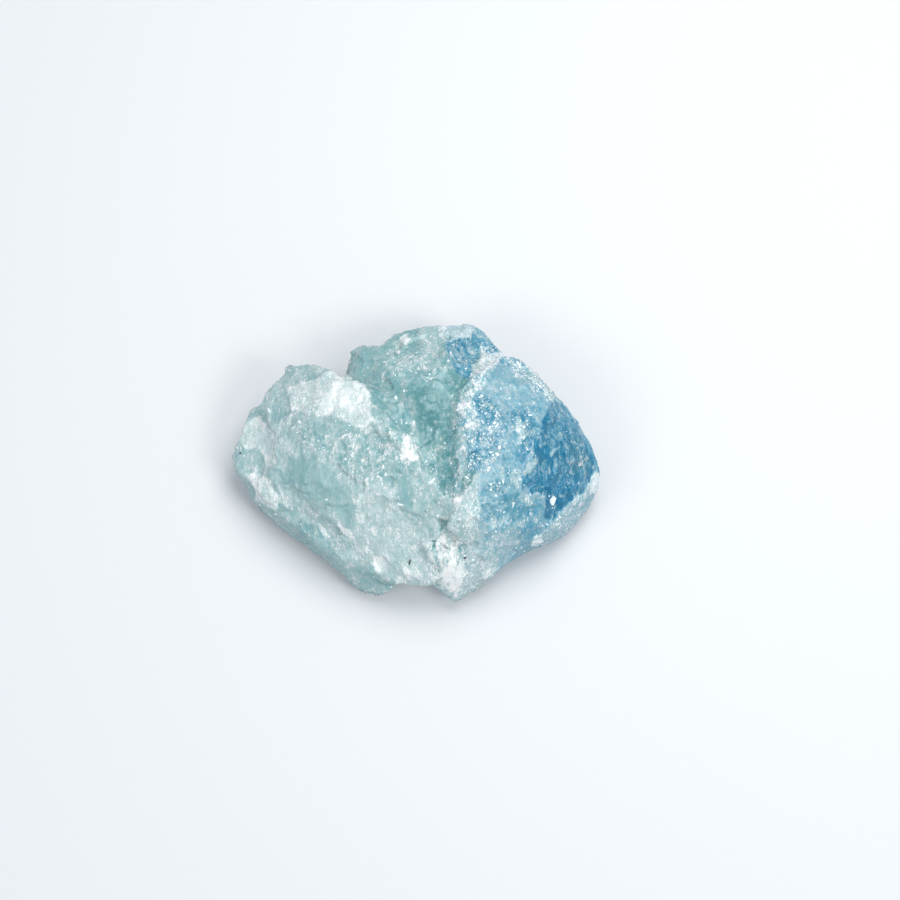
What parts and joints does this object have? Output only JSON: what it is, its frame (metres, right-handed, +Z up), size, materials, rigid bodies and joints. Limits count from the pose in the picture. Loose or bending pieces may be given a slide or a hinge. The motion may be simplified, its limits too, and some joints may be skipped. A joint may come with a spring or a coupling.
{
  "type": "aquamarine crystal",
  "caption": "Rough, unpolished piece of pale blue-green beryl with broken faces, a chalky patch and a deeper blue end. It rests on a flat fracture.",
  "frame": {"origin": "centre of the bounding box, at the resting face", "axes": "+X along the longest extent towards the blue end, +Y towards the back edge, +Z up from the resting face"},
  "size_m": [0.042, 0.0316, 0.0142],
  "materials": {
    "aquamarine": "broken, uneven and partly clear, from pale teal to blue"
  },
  "bodies": {
    "root": {"crystal": "aquamarine"}
  },
  "joints": []
}
